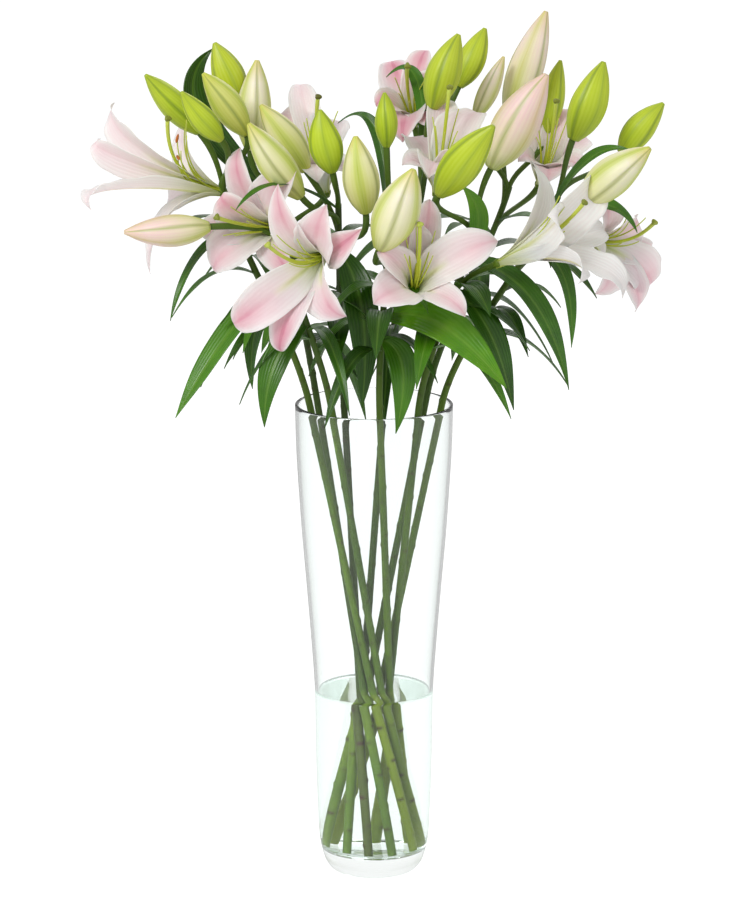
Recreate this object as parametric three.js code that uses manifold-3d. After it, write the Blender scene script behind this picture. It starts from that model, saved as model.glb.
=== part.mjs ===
// Pink oriental lilies: nine cut stalks with ten open flowers, twenty-two buds and their leaves,
// standing in a tall clear glass vase that is a third full of water.
// Millimetres. Z is up, the front of the arrangement faces -Y, and the middle of the vase's
// underside is the origin.
import * as THREE from "three";
import { mergeVertices } from "three/addons/utils/BufferGeometryUtils.js";
import Module from "manifold-3d";

const wasm = await Module();
wasm.setup();
const { Manifold, Mesh } = wasm;

// ---- Driving dimensions ----
const VASE_HEIGHT = 483;
const VASE_MOUTH_RADIUS = 79;
const VASE_WALL = 3.2;
const VASE_FLOOR = 21;
const VASE_SIDES = 32;
const WATER_LEVEL = 188;
const GAP = 0.35;
const STEM_FOOT_RADIUS = 4.1;
const STEM_TOP_RADIUS = 3.1;
const STEM_FOOT_HEIGHT = 22.6;
const STALK_RADIUS = 2.3;
const STALK_TOP_RADIUS = 3.2;
const OUTER_TEPAL_WIDTH = 31;
const INNER_TEPAL_WIDTH = 45;
const TEPAL_THICKNESS = 1.3;
const TEPAL_FOLD = 0.45;
const PISTIL_RADIUS = 1.3;
const LEAF_THICKNESS = 1.0;
const LEAF_FOLD = 0.28;

// ---- Materials ----
function material(colour, roughness, opacity = 1) {
  const transparent = opacity < 1;
  return new THREE.MeshStandardMaterial({ color: colour, roughness, metalness: 0, opacity, transparent });
}
const GLASS = material("#e9f2ef", 0.04, 0.3);
const WATER = material("#dfeae4", 0.05, 0.35);
const STALK_GREEN = material("#5f8a2e", 0.55);
const LEAF_GREEN = material("#2f6b1c", 0.5);
const BUD_LIME = material("#a9cc2b", 0.45);
const BUD_CREAM = material("#e6ddb0", 0.5);
const PETAL_PINK = material("#f1c3c9", 0.6);
const PETAL_WHITE = material("#f5ece8", 0.6);

const point = (p) => new THREE.Vector3(p[0], p[1], p[2]);
const mix = (a, b, t) => a + (b - a) * t;

// ---- Shapes laid along a line ----

// A point on a curve, and straight on past either of its ends.
function placeOn(curve, t, length) {
  const inside = Math.min(1, Math.max(0, t));
  const tangent = curve.getTangent(inside);
  return { at: curve.getPoint(inside).addScaledVector(tangent, (t - inside) * length), tangent };
}

// Bends a shape that stands along z from 0 to 1 onto a curve. Its y side turns to `facing`.
// sizeAt(t, x, y) gives the local x and y in millimetres.
function layAlong(geometry, curve, facing, sizeAt, extra) {
  const length = curve.getLength();
  const position = geometry.attributes.position;
  for (let i = 0; i < position.count; i += 1) {
    const t = position.getZ(i);
    const past = extra / length;
    const { at, tangent } = placeOn(curve, mix(-past, 1 + past, t), length);
    const side = facing.clone().cross(tangent).normalize();
    const up = tangent.clone().cross(side).normalize();
    const [x, y] = sizeAt(t, position.getX(i), position.getY(i));
    at.addScaledVector(side, x).addScaledVector(up, y);
    position.setXYZ(i, at.x, at.y, at.z);
  }
  return geometry;
}

// Turns a three.js shape into a closed solid.
function solidOf(geometry) {
  const plain = new THREE.BufferGeometry();
  plain.setAttribute("position", geometry.attributes.position);
  plain.setIndex(geometry.index);
  const merged = mergeVertices(plain, 1e-4);
  const mesh = new Mesh({
    numProp: 3,
    vertProperties: new Float32Array(merged.attributes.position.array),
    triVerts: new Uint32Array(merged.index.array),
  });
  mesh.merge();
  return new Manifold(mesh);
}

// A direction square to a line, used to steady the turn of round rods.
function squareTo(direction) {
  const helper = Math.abs(direction.z) > 0.7 ? new THREE.Vector3(1, 0, 0) : new THREE.Vector3(0, 0, 1);
  return helper.sub(direction.clone().multiplyScalar(helper.dot(direction))).normalize();
}

// A round rod along a curve, with a radius at each end.
function rod(curve, startRadius, endRadius, sides, steps, grow = 0) {
  const shape = new THREE.CylinderGeometry(1, 1, 1, sides, steps);
  shape.rotateX(Math.PI / 2).translate(0, 0, 0.5);
  const chord = curve.getPoint(1).sub(curve.getPoint(0)).normalize();
  const sizeAt = (t, x, y) => {
    const radius = mix(startRadius, endRadius, t) + grow;
    return [x * radius, y * radius];
  };
  return solidOf(layAlong(shape, curve, squareTo(chord), sizeAt, grow));
}

// ---- Vase and water ----

// Inner radius of the vase at a height.
const INNER_WALL = [[21, 43], [25, 48], [32, 50.5], [50, 53], [80, 54.6], [130, 55.9], [188, 56.8],
  [240, 60.2], [300, 65], [350, 69.2], [400, 72.6], [440, 74.8], [483, 75.8]];

function innerRadius(height) {
  let i = 1;
  while (i < INNER_WALL.length - 1 && INNER_WALL[i][0] < height) {
    i += 1;
  }
  const [z0, r0] = INNER_WALL[i - 1];
  const [z1, r1] = INNER_WALL[i];
  return mix(r0, r1, (height - z0) / (z1 - z0));
}

function turned(profile) {
  const line = profile.map(([r, z]) => new THREE.Vector2(r, z));
  return solidOf(new THREE.LatheGeometry(line, VASE_SIDES).rotateX(Math.PI / 2));
}

function makeVase() {
  const outside = [[0, 0], [41, 0], [45.5, 3], [50, 10], [55, 30]];
  for (const height of [60, 110, 188, 240, 300, 360, 420, 460]) {
    outside.push([innerRadius(height) + VASE_WALL, height]);
  }
  outside.push([VASE_MOUTH_RADIUS - 0.8, VASE_HEIGHT - 1]);
  outside.push([VASE_MOUTH_RADIUS - 1.6, VASE_HEIGHT]);
  const inside = [[innerRadius(VASE_HEIGHT) + 0.8, VASE_HEIGHT], [innerRadius(VASE_HEIGHT), VASE_HEIGHT - 1]];
  for (const height of [460, 420, 360, 300, 240, 188, 110, 60, 32, 25]) {
    inside.push([innerRadius(height), height]);
  }
  inside.push([innerRadius(VASE_FLOOR), VASE_FLOOR], [0, VASE_FLOOR]);
  return turned([...outside, ...inside]);
}

function makeWater(standing) {
  const side = [[0, VASE_FLOOR + GAP], [innerRadius(VASE_FLOOR) - 0.6, VASE_FLOOR + GAP]];
  for (const height of [25, 32, 60, 110, WATER_LEVEL]) {
    side.push([innerRadius(height) - 0.6, height]);
  }
  side.push([0, WATER_LEVEL]);
  return largest(turned(side).subtract(Manifold.union(standing)));
}

// ---- Stalks ----

// Each stalk: the angle and reach of its ring place at the rim, the same at its foot, and its top.
const STEMS = {
  stem_1: { rim: [196, 66], foot: [337, 37], top: [-150, -35, 705] },
  stem_2: { rim: [230, 64], foot: [12, 36], top: [-85, -60, 650] },
  stem_3: { rim: [156, 63], foot: [297, 37], top: [-92, 10, 690] },
  stem_4: { rim: [120, 62], foot: [262, 35], top: [-35, -40, 690] },
  stem_5: { rim: [275, 64], foot: [55, 38], top: [14, -50, 668] },
  stem_6: { rim: [80, 64], foot: [224, 33], top: [50, 30, 706] },
  stem_7: { rim: [312, 65], foot: [90, 37], top: [98, -45, 668] },
  stem_8: { rim: [352, 68], foot: [137, 36], top: [182, 8, 690] },
  stem_9: { rim: [35, 65], foot: [175, 38], top: [136, 72, 690] },
};

function onRing([degrees, reach], height) {
  const angle = (degrees * Math.PI) / 180;
  return new THREE.Vector3(reach * Math.cos(angle), reach * Math.sin(angle), height);
}

// A stalk is straight inside the vase and leans over to its top above the rim.
function stemCurve(row) {
  const foot = onRing(row.foot, STEM_FOOT_HEIGHT);
  const rim = onRing(row.rim, VASE_HEIGHT);
  const top = point(row.top);
  const lean = rim.clone().sub(foot).normalize();
  const knee = rim.clone().addScaledVector(lean, 70);
  const shoulder = top.clone().add(new THREE.Vector3((rim.x - top.x) * 0.25, (rim.y - top.y) * 0.25, -70));
  const upper = new THREE.CubicBezierCurve3(rim, knee, shoulder, top);
  const line = [foot];
  for (const t of [0.2, 0.4, 0.6, 0.8]) {
    line.push(foot.clone().lerp(rim, t));
  }
  for (const t of [0, 0.25, 0.5, 0.75, 1]) {
    line.push(upper.getPoint(t));
  }
  return new THREE.CatmullRomCurve3(line);
}

const stemCurves = Object.fromEntries(Object.entries(STEMS).map(([name, row]) => [name, stemCurve(row)]));

// The point of a stalk at a height.
function stemAt(name, height) {
  const curve = stemCurves[name];
  let low = 0;
  let high = 1;
  for (let i = 0; i < 30; i += 1) {
    const middle = (low + high) / 2;
    if (curve.getPoint(middle).z < height) {
      low = middle;
    } else {
      high = middle;
    }
  }
  return { at: curve.getPoint(low), tangent: curve.getTangent(low) };
}

const makeStem = (name, grow) => rod(stemCurves[name], STEM_FOOT_RADIUS, STEM_TOP_RADIUS, 8, 9, grow);

// A flower stalk: leaves the main stalk at a height and swings round to a flower's or bud's base.
function flowerStalk(from, base, direction, grow) {
  const start = stemAt(from[0], from[1]);
  const reach = start.at.distanceTo(base);
  const first = start.at.clone().addScaledVector(start.tangent, reach * 0.35);
  const last = base.clone().addScaledVector(direction, -reach * 0.4);
  const end = base.clone().addScaledVector(direction, 3);
  const curve = new THREE.CubicBezierCurve3(start.at, first, last, end);
  return rod(curve, STALK_RADIUS, STALK_TOP_RADIUS, 6, 5, grow);
}

// ---- Buds ----

// Each bud: where its stalk leaves, its base, its tip and its width.
const BUDS = {
  bud_1: { from: ["stem_1", 672], base: [-170, -40, 760], tip: [-220, -70, 820], width: 27 },
  bud_2: { from: ["stem_1", 690], base: [-147, -78, 758], tip: [-184, -104, 808], width: 24 },
  bud_3: { from: ["stem_1", 702], base: [-124, -40, 758], tip: [-165, -58, 820], width: 30 },
  bud_4: { from: ["stem_3", 686], base: [-134, 28, 778], tip: [-157, 24, 840], width: 32 },
  bud_5: { from: ["stem_3", 672], base: [-122, 8, 735], tip: [-115, 16, 824], width: 34 },
  bud_6: { from: ["stem_4", 650], base: [-66, -38, 722], tip: [-110, -48, 788], width: 32 },
  bud_7: { from: ["stem_4", 665], base: [-70, -88, 704], tip: [-120, -108, 778], width: 33 },
  bud_8: { from: ["stem_4", 682], base: [-40, -88, 728], tip: [-52, -98, 790], width: 32 },
  bud_9: { from: ["stem_5", 664], base: [12, -45, 746], tip: [10, -45, 800], width: 22 },
  bud_10: { from: ["stem_4", 636], base: [-8, -98, 690], tip: [-18, -108, 766], width: 35 },
  bud_11: { from: ["stem_5", 620], base: [5, -138, 662], tip: [37, -162, 742], width: 43 },
  bud_12: { from: ["stem_7", 655], base: [62, -98, 708], tip: [113, -138, 780], width: 37 },
  bud_13: { from: ["stem_6", 704], base: [57, 12, 776], tip: [83, 12, 850], width: 34 },
  bud_14: { from: ["stem_6", 700], base: [84, 72, 790], tip: [111, 82, 848], width: 28 },
  bud_15: { from: ["stem_9", 680], base: [100, 60, 760], tip: [129, 62, 822], width: 20 },
  bud_16: { from: ["stem_9", 664], base: [134, 88, 758], tip: [172, 90, 864], width: 35 },
  bud_17: { from: ["stem_7", 664], base: [114, -42, 726], tip: [166, -66, 820], width: 44 },
  bud_18: { from: ["stem_9", 688], base: [174, 108, 738], tip: [188, 114, 812], width: 25 },
  bud_19: { from: ["stem_8", 680], base: [196, 20, 744], tip: [226, 20, 822], width: 36 },
  bud_20: { from: ["stem_8", 687], base: [246, 52, 726], tip: [287, 42, 778], width: 29 },
  bud_21: { from: ["stem_8", 655], base: [202, -50, 692], tip: [266, -76, 750], width: 38 },
  bud_22: { from: ["stem_2", 640], base: [-158, -92, 676], tip: [-240, -112, 674], width: 31 },
};

// A bud's half width along its length, as shares of half its greatest width.
const BUD_OUTLINE = [0.3, 0.74, 0.97, 1.0, 0.84, 0.55, 0.13];

function makeBud(row, grow) {
  const base = point(row.base);
  const tip = point(row.tip);
  const direction = tip.clone().sub(base).normalize();
  const steps = BUD_OUTLINE.length - 1;
  const shape = new THREE.CylinderGeometry(1, 1, 1, 8, steps);
  shape.rotateX(Math.PI / 2).translate(0, 0, 0.5);
  const sizeAt = (t, x, y) => {
    const lobes = 1 + 0.06 * Math.cos(3 * Math.atan2(y, x));
    const radius = (row.width / 2) * BUD_OUTLINE[Math.round(t * steps)] * lobes + grow;
    return [x * radius, y * radius];
  };
  const body = layAlong(shape, new THREE.LineCurve3(base, tip), squareTo(direction), sizeAt, grow);
  return solidOf(body).add(flowerStalk(row.from, base, direction, grow));
}

// ---- Open flowers ----

// Each flower: where its stalk leaves, its base, the way it opens, its six tepal tips (outer and
// inner by turns) and the end of its pistil.
const BLOOMS = {
  bloom_1: { from: ["stem_1", 640], base: [-150, -35, 702], opens: [-0.88, -0.38, 0.25],
    tips: [[-263, -60, 753], [-250, -15, 782], [-184, 25, 762],
      [-201, 30, 671], [-213, -75, 629], [-269, -95, 698]],
    pistil: [-199, -75, 778] },
  bloom_2: { from: ["stem_2", 646], base: [-94, -50, 668], opens: [-0.55, -0.8, 0.15],
    tips: [[-132, -64, 752], [-75, -105, 734], [-72, -108, 626],
      [-157, -78, 629], [-172, -58, 667], [-148, -85, 708]],
    pistil: [-150, -124, 690] },
  bloom_3: { from: ["stem_2", 625], base: [-46, -102, 653], opens: [-0.42, -0.87, -0.25],
    tips: [[-94, -146, 727], [-46, -160, 709], [-12, -166, 686],
      [-26, -166, 600], [-90, -138, 559], [-138, -134, 587]],
    pistil: [-100, -178, 672] },
  bloom_4: { from: ["stem_5", 560], base: [37, -90, 612], opens: [0.12, -0.86, 0.48],
    tips: [[54, -96, 707], [121, -124, 669], [89, -158, 599],
      [-3, -160, 612], [0, -140, 661], [19, -106, 692]],
    pistil: [43, -156, 688] },
  bloom_5: { from: ["stem_7", 600], base: [122, -70, 637], opens: [0.8, -0.42, 0.42],
    tips: [[156, -24, 726], [213, -40, 717], [228, 6, 656],
      [241, -94, 605], [196, -148, 629], [165, -138, 695]],
    pistil: [201, -110, 702] },
  bloom_6: { from: ["stem_6", 640], base: [62, -15, 698], opens: [0.1, -0.4, 0.9],
    tips: [[66, 46, 783], [106, 16, 773], [90, -80, 737], [52, -92, 724], [26, -46, 730], [30, 30, 748]],
    pistil: [73, -36, 803] },
  bloom_7: { from: ["stem_3", 650], base: [-48, 30, 692], opens: [-0.2, -0.45, 0.86],
    tips: [[-74, 74, 794], [-34, 90, 757], [-24, -20, 718],
      [-55, -54, 714], [-88, -30, 727], [-96, 58, 766]],
    pistil: [-55, -6, 790] },
  bloom_8: { from: ["stem_6", 665], base: [40, 95, 752], opens: [-0.15, -0.7, 0.66],
    tips: [[54, 100, 826], [72, 56, 791], [66, 20, 752], [28, 18, 742], [0, 45, 774], [16, 112, 814]],
    pistil: [33, 24, 817] },
  bloom_9: { from: ["stem_8", 600], base: [214, 45, 642], opens: [0.75, -0.63, -0.13],
    tips: [[223, 2, 694], [264, 40, 667], [279, 70, 624], [281, 78, 586], [265, 66, 562], [220, -4, 592]],
    pistil: [276, -8, 666] },
  bloom_10: { from: ["stem_9", 645], base: [168, 108, 688], opens: [0.2, -0.55, 0.8],
    tips: [[191, 136, 762], [220, 120, 733], [206, 54, 708],
      [173, 44, 698], [142, 60, 718], [148, 132, 758]],
    pistil: [182, 74, 775] },
};

// The middle line of a tepal: up out of the throat, then over and back to its tip.
// The outer three are set on lower than the inner three, so they pass behind them.
function tepalCurve(centre, opens, tip, isOuter) {
  const outward = tip.clone().sub(centre).projectOnPlane(opens).normalize();
  const base = centre.clone().addScaledVector(outward, 3.6).addScaledVector(opens, isOuter ? -4 : 0.5);
  const reach = tip.clone().sub(base);
  const length = reach.length();
  const along = reach.dot(opens);
  const out = reach.clone().addScaledVector(opens, -along);
  const throat = base.clone().addScaledVector(opens, length * 0.42);
  const bend = base.clone().addScaledVector(out, 0.62).addScaledVector(opens, along + length * 0.26);
  return new THREE.CubicBezierCurve3(base, throat, bend, tip);
}

// Share of a tepal's width along its length: narrow at the throat, widest past the middle.
function tepalOutline(t) {
  const rise = 0.12 + 0.88 * Math.sin(Math.min(1, t / 0.58) * Math.PI / 2);
  const fall = t < 0.58 ? 1 : Math.max(0, Math.cos(((t - 0.58) / 0.42) * Math.PI / 2)) ** 0.75;
  return Math.max(0.03, rise * fall);
}

function blade(curve, facing, width, outline, thickness, fold, steps, grow) {
  const shape = new THREE.BoxGeometry(1, 1, 1, 2, 1, steps);
  shape.translate(0, 0, 0.5);
  const sizeAt = (t, x, y) => {
    const across = x * (width * outline(t) + 2 * grow);
    return [across, y * (thickness + 2 * grow) + Math.abs(across) * fold];
  };
  return solidOf(layAlong(shape, curve, facing, sizeAt, grow));
}

function makeBloom(row, grow) {
  const base = point(row.base);
  const opens = point(row.opens).normalize();
  const pieces = row.tips.map((tip, i) => {
    const isOuter = i % 2 === 0;
    const curve = tepalCurve(base, opens, point(tip), isOuter);
    const width = isOuter ? OUTER_TEPAL_WIDTH : INNER_TEPAL_WIDTH;
    const side = point(tip).sub(base).cross(opens).normalize();
    return makeTepal({ curve, width, side }, grow);
  });
  const below = base.clone().addScaledVector(opens, -7);
  const throat = new THREE.LineCurve3(below, base.clone().addScaledVector(opens, 3));
  pieces.push(rod(throat, 3.6, 5.2, 6, 1, grow));
  const pistilEnd = point(row.pistil);
  const rise = base.clone().addScaledVector(opens, base.distanceTo(pistilEnd) * 0.6);
  const pistil = new THREE.QuadraticBezierCurve3(base, rise, pistilEnd);
  pieces.push(rod(pistil, PISTIL_RADIUS, PISTIL_RADIUS * 1.6, 6, 4, grow));
  pieces.push(flowerStalk(row.from, base, opens, grow));
  return Manifold.union(pieces);
}

// A tepal: its width always runs along the one side direction, and its upper face looks to the
// flower's axis all along the bend.
function makeTepal(tepal, grow) {
  const shape = new THREE.BoxGeometry(1, 1, 1, 2, 1, 5);
  shape.translate(0, 0, 0.5);
  const length = tepal.curve.getLength();
  const position = shape.attributes.position;
  for (let i = 0; i < position.count; i += 1) {
    const t = position.getZ(i);
    const past = grow / length;
    const { at, tangent } = placeOn(tepal.curve, mix(-past, 1 + past, t), length);
    const up = tepal.side.clone().cross(tangent).normalize();
    const across = position.getX(i) * (tepal.width * tepalOutline(t) + 2 * grow);
    const cup = Math.abs(across) * TEPAL_FOLD * (1 - 0.75 * t);
    const lift = position.getY(i) * (TEPAL_THICKNESS + 2 * grow) + cup;
    at.addScaledVector(tepal.side, -across).addScaledVector(up, lift);
    position.setXYZ(i, at.x, at.y, at.z);
  }
  return solidOf(shape);
}

// ---- Leaves ----

// Each leaf: the stalk and height it grows from, its bend points, its tip, its width and the way
// its upper face looks.
const LEAVES = {
  leaf_1: { from: ["stem_1", 600], bend: [-148, -58, 568], tip: [-194, -85, 486],
    width: 29, face: [-0.5, -0.7, 0.5] },
  leaf_2: { from: ["stem_2", 575], bend: [-108, -85, 548], tip: [-107, -92, 478],
    width: 27, face: [-0.3, -0.9, 0.3] },
  leaf_3: { from: ["stem_1", 585], bend: [-126, -30, 570], tip: [-120, -42, 506],
    width: 24, face: [-0.6, -0.6, 0.4] },
  leaf_4: { from: ["stem_1", 662], bend: [-180, -68, 658], tip: [-198, -88, 583],
    width: 15, face: [-0.7, -0.6, 0.4] },
  leaf_5: { from: ["stem_5", 582], bend: [62, -126, 612], tip: [127, -145, 528],
    width: 44, face: [0.2, -0.8, 0.6] },
  leaf_6: { from: ["stem_5", 560], bend: [41, -92, 556], tip: [21, -98, 473],
    width: 28, face: [0.1, -0.95, 0.3] },
  leaf_7: { from: ["stem_7", 605], bend: [117, -76, 588], tip: [136, -96, 496],
    width: 30, face: [0.5, -0.8, 0.4] },
  leaf_8: { from: ["stem_7", 636], bend: [165, -62, 628], tip: [190, -86, 514],
    width: 31, face: [0.6, -0.6, 0.5] },
  leaf_9: { from: ["stem_8", 640], bend: [198, -45, 640], tip: [193, -65, 552],
    width: 19, face: [0.5, -0.8, 0.3] },
  leaf_10: { from: ["stem_4", 684], bend: [-98, -132, 748], tip: [-132, -142, 700],
    width: 13, face: [-0.3, -0.4, 0.85] },
  leaf_11: { from: ["stem_3", 684], bend: [-222, 44, 782], tip: [-159, 46, 832],
    width: 30, face: [0.5, -0.8, 0.2] },
  leaf_12: { from: ["stem_5", 660], bend: [14, 8, 805], tip: [-36, 6, 763],
    width: 13, face: [-0.2, -0.3, 0.9] },
  leaf_13: { from: ["stem_6", 700], bend: [56, 58, 845], tip: [12, 50, 803],
    width: 14, face: [-0.3, -0.5, 0.8] },
  leaf_14: { from: ["stem_8", 664], bend: [206, -25, 756], tip: [250, -42, 743],
    width: 16, face: [-0.2, -0.5, 0.85] },
  leaf_15: { from: ["stem_8", 676], bend: [240, -12, 702], tip: [259, -18, 658],
    width: 17, face: [0.5, -0.6, 0.6] },
  leaf_16: { from: ["stem_7", 645], bend: [114, -58, 684], tip: [85, -60, 711],
    width: 20, face: [0.2, -0.9, 0.3] },
  leaf_17: { from: ["stem_4", 640], bend: [0, -74, 604], tip: [-12, -72, 493],
    width: 33, face: [0.1, -0.95, 0.2] },
};

// Share of a leaf's width along its length: a narrow foot, widest before the middle, a long tip.
function leafOutline(t) {
  const rise = 0.22 + 0.78 * Math.sin(Math.min(1, t / 0.42) * Math.PI / 2);
  const fall = t < 0.42 ? 1 : Math.max(0, Math.cos(((t - 0.42) / 0.58) * Math.PI / 2)) ** 0.9;
  return Math.max(0.04, rise * fall);
}

function leafCurve(row) {
  const start = stemAt(row.from[0], row.from[1]);
  return new THREE.QuadraticBezierCurve3(start.at, point(row.bend), point(row.tip));
}

function makeLeaf(row, grow) {
  const facing = point(row.face).normalize();
  return blade(leafCurve(row), facing, row.width, leafOutline, LEAF_THICKNESS, LEAF_FOLD, 7, grow);
}

// ---- Assembly ----

// The biggest body of a cut solid.
function largest(solid) {
  const bodies = solid.decompose();
  return bodies.reduce((best, body) => (body.volume() > best.volume() ? body : best));
}

function boxesMeet(a, b) {
  return [0, 1, 2].every((i) => a.min[i] <= b.max[i] && b.min[i] <= a.max[i]);
}

// Cuts a solid back so that it keeps a small gap to everything already in place.
function fitAround(solid, placed) {
  const own = solid.boundingBox();
  const near = placed.filter((item) => boxesMeet(own, item.boundingBox()));
  return near.length ? largest(solid.subtract(Manifold.union(near))) : solid;
}

function meshOf(name, solid, look) {
  const source = largest(solid.simplify(0.12)).getMesh();
  const geometry = new THREE.BufferGeometry();
  geometry.setAttribute("position", new THREE.BufferAttribute(new Float32Array(source.vertProperties), 3));
  geometry.setIndex(new THREE.BufferAttribute(new Uint32Array(source.triVerts), 1));
  geometry.computeVertexNormals();
  const mesh = new THREE.Mesh(geometry, look);
  mesh.name = name;
  return mesh;
}

const CREAM_BUDS = ["bud_5", "bud_11", "bud_15", "bud_16", "bud_17", "bud_21", "bud_22"];
const WHITE_BLOOMS = ["bloom_1", "bloom_5", "bloom_10"];

const group = new THREE.Group();
group.name = "pink_oriental_lilies";
group.add(meshOf("vase", makeVase(), GLASS));

const placed = [];
const stemCutters = [];
for (const name of Object.keys(STEMS)) {
  group.add(meshOf(name, makeStem(name, 0), STALK_GREEN));
  stemCutters.push(makeStem(name, GAP));
}
placed.push(...stemCutters);

for (const [name, row] of Object.entries(BLOOMS)) {
  const look = WHITE_BLOOMS.includes(name) ? PETAL_WHITE : PETAL_PINK;
  group.add(meshOf(name, fitAround(makeBloom(row, 0), placed), look));
  placed.push(makeBloom(row, GAP));
}
for (const [name, row] of Object.entries(BUDS)) {
  const look = CREAM_BUDS.includes(name) ? BUD_CREAM : BUD_LIME;
  group.add(meshOf(name, fitAround(makeBud(row, 0), placed), look));
  placed.push(makeBud(row, GAP));
}
for (const [name, row] of Object.entries(LEAVES)) {
  group.add(meshOf(name, fitAround(makeLeaf(row, 0), placed), LEAF_GREEN));
  placed.push(makeLeaf(row, GAP));
}
group.add(meshOf("water", makeWater(stemCutters), WATER));

export default group;
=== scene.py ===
# %% [markdown]
# # Pink oriental lilies in a tall glass vase
# Nine cut stalks cross in a spiral inside a clear vase, and fan out above it into ten open
# flowers, twenty-two buds and long narrow leaves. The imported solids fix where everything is, and
# the finished surfaces are grown on the same lines, as numpy grids.

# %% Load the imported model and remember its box
import math
from functools import partial

import bpy
import numpy as np
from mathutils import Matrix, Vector


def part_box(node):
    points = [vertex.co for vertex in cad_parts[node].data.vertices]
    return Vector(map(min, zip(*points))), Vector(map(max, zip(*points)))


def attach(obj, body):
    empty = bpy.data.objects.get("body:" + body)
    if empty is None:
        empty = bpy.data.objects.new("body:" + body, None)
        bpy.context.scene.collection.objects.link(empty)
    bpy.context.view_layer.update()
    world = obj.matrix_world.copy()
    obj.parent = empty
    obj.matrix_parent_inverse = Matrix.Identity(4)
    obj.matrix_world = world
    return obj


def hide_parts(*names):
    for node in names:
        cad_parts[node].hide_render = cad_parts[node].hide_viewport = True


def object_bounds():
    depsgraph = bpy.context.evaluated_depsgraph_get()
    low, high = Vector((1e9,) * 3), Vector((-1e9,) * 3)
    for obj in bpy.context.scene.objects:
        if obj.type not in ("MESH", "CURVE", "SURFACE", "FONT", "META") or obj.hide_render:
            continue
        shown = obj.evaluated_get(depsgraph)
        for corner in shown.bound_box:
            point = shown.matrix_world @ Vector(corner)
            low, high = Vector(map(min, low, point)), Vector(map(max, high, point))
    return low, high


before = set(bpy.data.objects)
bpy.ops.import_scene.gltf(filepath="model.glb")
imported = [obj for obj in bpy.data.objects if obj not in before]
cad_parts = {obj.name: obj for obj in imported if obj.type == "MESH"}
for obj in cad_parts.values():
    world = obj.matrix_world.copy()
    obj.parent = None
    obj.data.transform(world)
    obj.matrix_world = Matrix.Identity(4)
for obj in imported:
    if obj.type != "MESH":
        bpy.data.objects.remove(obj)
CAD_BOX = [list(corner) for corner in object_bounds()]
print("solids:", len(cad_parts), "box in metres:", CAD_BOX)

# %% [markdown]
# A long lens a few metres away, a little above the flowers, sees them almost without perspective.
# One large lamp on the upper left shapes the petals. A white surround, made further on with the
# node helper, gives the soft even light of a product table.

# %% Camera and lamps
MM = 0.001


def linear(colour):
    """An sRGB hex colour as linear red, green, blue and alpha."""
    parts = np.array([int(colour[i:i + 2], 16) for i in (1, 3, 5)]) / 255
    low = parts / 12.92
    high = ((parts + 0.055) / 1.055) ** 2.4
    return (*np.where(parts <= 0.04045, low, high).tolist(), 1.0)


def aim(thing, place, target):
    """Puts a camera or lamp at a place, looking at a target."""
    thing.location = place
    thing.rotation_euler = (Vector(target) - Vector(place)).to_track_quat("-Z", "Y").to_euler()
    bpy.context.scene.collection.objects.link(thing)


def make_camera():
    """A 160 mm lens four metres from the middle of the arrangement, 12.5 degrees above level."""
    camera = bpy.data.objects.new("camera", bpy.data.cameras.new("camera"))
    camera.data.lens = 160
    camera.data.sensor_width = 36
    target = np.array([-0.0055, 0.0, 0.435])
    lift = math.radians(12.5)
    place = target + 4.0 * np.array([0, -math.cos(lift), math.sin(lift)])
    aim(camera, tuple(place), tuple(target))
    bpy.context.scene.camera = camera


def make_lamp(name, place, width, watts):
    """A square soft lamp that looks at the flowers."""
    lamp = bpy.data.objects.new(name, bpy.data.lights.new(name, "AREA"))
    lamp.data.size = width
    lamp.data.energy = watts
    aim(lamp, place, (0, 0, 0.6))


make_camera()
make_lamp("key_lamp", (-1.6, -2.2, 2.6), 1.0, 56)
make_lamp("fill_lamp", (2.2, -1.8, 1.4), 1.8, 7)
make_lamp("back_lamp", (0.6, 2.4, 2.2), 1.6, 16)
bpy.context.scene.view_settings.view_transform = "Standard"

# %% [markdown]
# One function adds a node, sets it up and links it. A noise's scale comes from the width of one of
# its patches in millimetres. Cells are too fine to show, so noises of 0.7 to 1.4 mm stand in.

# %% The node helper
def node(tree, kind, inputs=(), out=None, stops=(), **settings):
    """Adds a node, sets its properties and colour stops, and fills or links its inputs, which come
    by position or by name. A kind may carry its operation, as in Math.POWER. Gives back the
    output asked for, or else the first in use."""
    kind, _, operation = kind.partition(".")
    made = tree.nodes.new("ShaderNode" + kind)
    if operation:
        made.operation = operation
    for key, value in settings.items():
        setattr(made, key, value)
    if stops:
        elements = made.color_ramp.elements
        while len(elements) < len(stops):
            elements.new(0.5)
        for element, (place, colour) in zip(elements, stops):
            element.position = place
            element.color = linear(colour)
    for key, value in inputs.items() if isinstance(inputs, dict) else enumerate(inputs):
        if isinstance(value, bpy.types.NodeSocket):
            tree.links.new(value, made.inputs[key])
        else:
            made.inputs[key].default_value = value
    return made.outputs[out] if out else next((s for s in made.outputs if s.enabled), None)


def new_material(name, *attributes):
    """An empty node material, the node helper tied to its tree, and the attributes it reads."""
    made = bpy.data.materials.new(name)
    made.use_nodes = True
    made.node_tree.nodes.clear()
    add = partial(node, made.node_tree)
    print("made", name)
    return made, add, *(add("Attribute", out="Fac", attribute_name=key) for key in attributes)


def per_metre(width):
    """A noise's scale, from the width of one of its patches in millimetres."""
    return 1.0 / (width * MM)


def coats(add, colour, *layers):
    """Colours laid over one another. A layer is where it lies, how strongly, and its colour."""
    colour = linear(colour) if isinstance(colour, str) else colour
    for share, strength, coat in layers:
        if strength != 1:
            share = add("Math.MULTIPLY", [share, strength])
        coat = linear(coat) if isinstance(coat, str) else coat
        colour = add("Mix", {"Factor": share, "A": colour, "B": coat}, data_type="RGBA")
    return colour


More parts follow.
